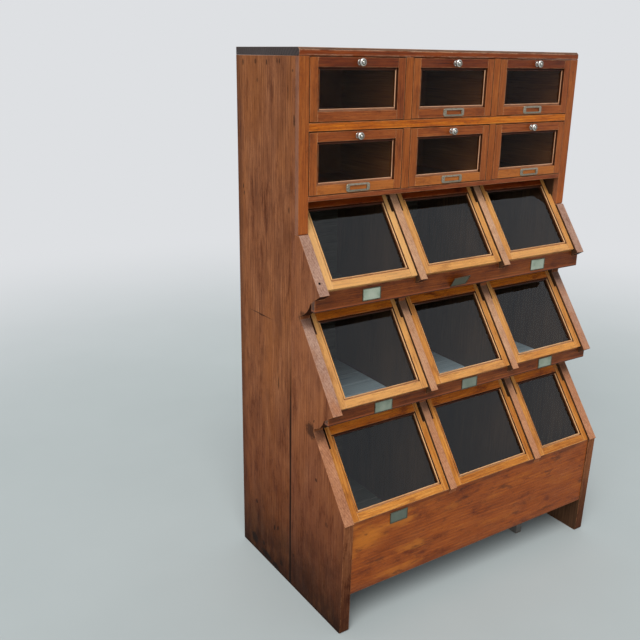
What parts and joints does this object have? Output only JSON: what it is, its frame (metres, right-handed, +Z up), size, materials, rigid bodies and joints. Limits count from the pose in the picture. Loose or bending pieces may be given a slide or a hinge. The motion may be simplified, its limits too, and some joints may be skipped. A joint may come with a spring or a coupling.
{
  "type": "haberdashery cabinet",
  "caption": "Tall shop cabinet in varnished wood: glazed drawers at the top over stepped rows of bins, each closed by a sloping glazed lid hinged at its upper edge.",
  "frame": {"origin": "on the floor, under the middle of the bounding box", "axes": "+Z up, the glazed front faces -Y, +X to the right seen from the front"},
  "size_m": [1.168, 0.6654, 1.8],
  "materials": {
    "side_wood": "old brown varnish, satin, scuffed",
    "facing_wood": "orange-brown varnish, satin",
    "drawer_wood": "orange-brown varnish, satin",
    "lid_wood": "warm light brown varnish, satin",
    "plinth_wood": "worn red-brown varnish, semi-matte",
    "inner_wood": "unvarnished aged wood, matte",
    "glass": "clear old window glass",
    "nickel": "old nickel plate, semi-gloss"
  },
  "bodies": {
    "carcase": {"side_left": "side_wood", "side_right": "side_wood", "stile_left": "facing_wood", "stile_right": "facing_wood", "top_board": "side_wood", "back_panel": "inner_wood", "drawer_shelf": "facing_wood", "nose_shelf": "facing_wood", "divider_1": "facing_wood", "divider_2": "facing_wood", "bin_divider_1": "facing_wood", "bin_divider_2": "facing_wood", "bin_floor_1": "inner_wood", "bin_floor_2": "inner_wood", "bin_floor_3": "inner_wood", "fascia_1": "plinth_wood", "fascia_2": "plinth_wood", "plinth": "plinth_wood"},
    "drawer_r1c1": {"drawer_box_r1c1": "inner_wood", "drawer_front_r1c1": "drawer_wood", "drawer_pane_r1c1": "glass", "drawer_knob_r1c1": "nickel"},
    "drawer_r1c2": {"drawer_box_r1c2": "inner_wood", "drawer_front_r1c2": "drawer_wood", "drawer_pane_r1c2": "glass", "drawer_knob_r1c2": "nickel"},
    "drawer_r1c3": {"drawer_box_r1c3": "inner_wood", "drawer_front_r1c3": "drawer_wood", "drawer_pane_r1c3": "glass", "drawer_knob_r1c3": "nickel"},
    "drawer_r2c1": {"drawer_box_r2c1": "inner_wood", "drawer_front_r2c1": "drawer_wood", "drawer_pane_r2c1": "glass", "drawer_knob_r2c1": "nickel"},
    "drawer_r2c2": {"drawer_box_r2c2": "inner_wood", "drawer_front_r2c2": "drawer_wood", "drawer_pane_r2c2": "glass", "drawer_knob_r2c2": "nickel"},
    "drawer_r2c3": {"drawer_box_r2c3": "inner_wood", "drawer_front_r2c3": "drawer_wood", "drawer_pane_r2c3": "glass", "drawer_knob_r2c3": "nickel"},
    "lid_r1c1": {"lid_frame_r1c1": "lid_wood", "lid_pane_r1c1": "glass"},
    "lid_r1c2": {"lid_frame_r1c2": "lid_wood", "lid_pane_r1c2": "glass"},
    "lid_r1c3": {"lid_frame_r1c3": "lid_wood", "lid_pane_r1c3": "glass"},
    "lid_r2c1": {"lid_frame_r2c1": "lid_wood", "lid_pane_r2c1": "glass"},
    "lid_r2c2": {"lid_frame_r2c2": "lid_wood", "lid_pane_r2c2": "glass"},
    "lid_r2c3": {"lid_frame_r2c3": "lid_wood", "lid_pane_r2c3": "glass"},
    "lid_r3c1": {"lid_frame_r3c1": "lid_wood", "lid_pane_r3c1": "glass"},
    "lid_r3c2": {"lid_frame_r3c2": "lid_wood", "lid_pane_r3c2": "glass"},
    "lid_r3c3": {"lid_frame_r3c3": "lid_wood", "lid_pane_r3c3": "glass"}
  },
  "joints": [
    {"name": "drawer_r1c1_slide", "type": "slide", "parent": "carcase", "child": "drawer_r1c1", "axis": [0, -1, 0], "range_m": [0, 0.26]},
    {"name": "drawer_r1c2_slide", "type": "slide", "parent": "carcase", "child": "drawer_r1c2", "axis": [0, -1, 0], "range_m": [0, 0.26]},
    {"name": "drawer_r1c3_slide", "type": "slide", "parent": "carcase", "child": "drawer_r1c3", "axis": [0, -1, 0], "range_m": [0, 0.26]},
    {"name": "drawer_r2c1_slide", "type": "slide", "parent": "carcase", "child": "drawer_r2c1", "axis": [0, -1, 0], "range_m": [0, 0.26]},
    {"name": "drawer_r2c2_slide", "type": "slide", "parent": "carcase", "child": "drawer_r2c2", "axis": [0, -1, 0], "range_m": [0, 0.26]},
    {"name": "drawer_r2c3_slide", "type": "slide", "parent": "carcase", "child": "drawer_r2c3", "axis": [0, -1, 0], "range_m": [0, 0.26]},
    {"name": "lid_r1c1_hinge", "type": "hinge", "parent": "carcase", "child": "lid_r1c1", "pos_m": [-0.373, 0.02125, 1.3353], "axis": [-1, 0, 0], "range_deg": [0, 58]},
    {"name": "lid_r1c2_hinge", "type": "hinge", "parent": "carcase", "child": "lid_r1c2", "pos_m": [0.0035, 0.02125, 1.3353], "axis": [-1, 0, 0], "range_deg": [0, 58]},
    {"name": "lid_r1c3_hinge", "type": "hinge", "parent": "carcase", "child": "lid_r1c3", "pos_m": [0.3765, 0.02125, 1.3353], "axis": [-1, 0, 0], "range_deg": [0, 58]},
    {"name": "lid_r2c1_hinge", "type": "hinge", "parent": "carcase", "child": "lid_r2c1", "pos_m": [-0.373, -0.05169, 0.9923], "axis": [-1, 0, 0], "range_deg": [0, 65]},
    {"name": "lid_r2c2_hinge", "type": "hinge", "parent": "carcase", "child": "lid_r2c2", "pos_m": [0.0035, -0.05169, 0.9923], "axis": [-1, 0, 0], "range_deg": [0, 65]},
    {"name": "lid_r2c3_hinge", "type": "hinge", "parent": "carcase", "child": "lid_r2c3", "pos_m": [0.3765, -0.05169, 0.9923], "axis": [-1, 0, 0], "range_deg": [0, 65]},
    {"name": "lid_r3c1_hinge", "type": "hinge", "parent": "carcase", "child": "lid_r3c1", "pos_m": [-0.3505, -0.1413, 0.6352], "axis": [-1, 0, 0], "range_deg": [0, 65]},
    {"name": "lid_r3c2_hinge", "type": "hinge", "parent": "carcase", "child": "lid_r3c2", "pos_m": [0.0645, -0.1413, 0.6352], "axis": [-1, 0, 0], "range_deg": [0, 65]},
    {"name": "lid_r3c3_hinge", "type": "hinge", "parent": "carcase", "child": "lid_r3c3", "pos_m": [0.415, -0.1413, 0.6352], "axis": [-1, 0, 0], "range_deg": [0, 65]}
  ]
}
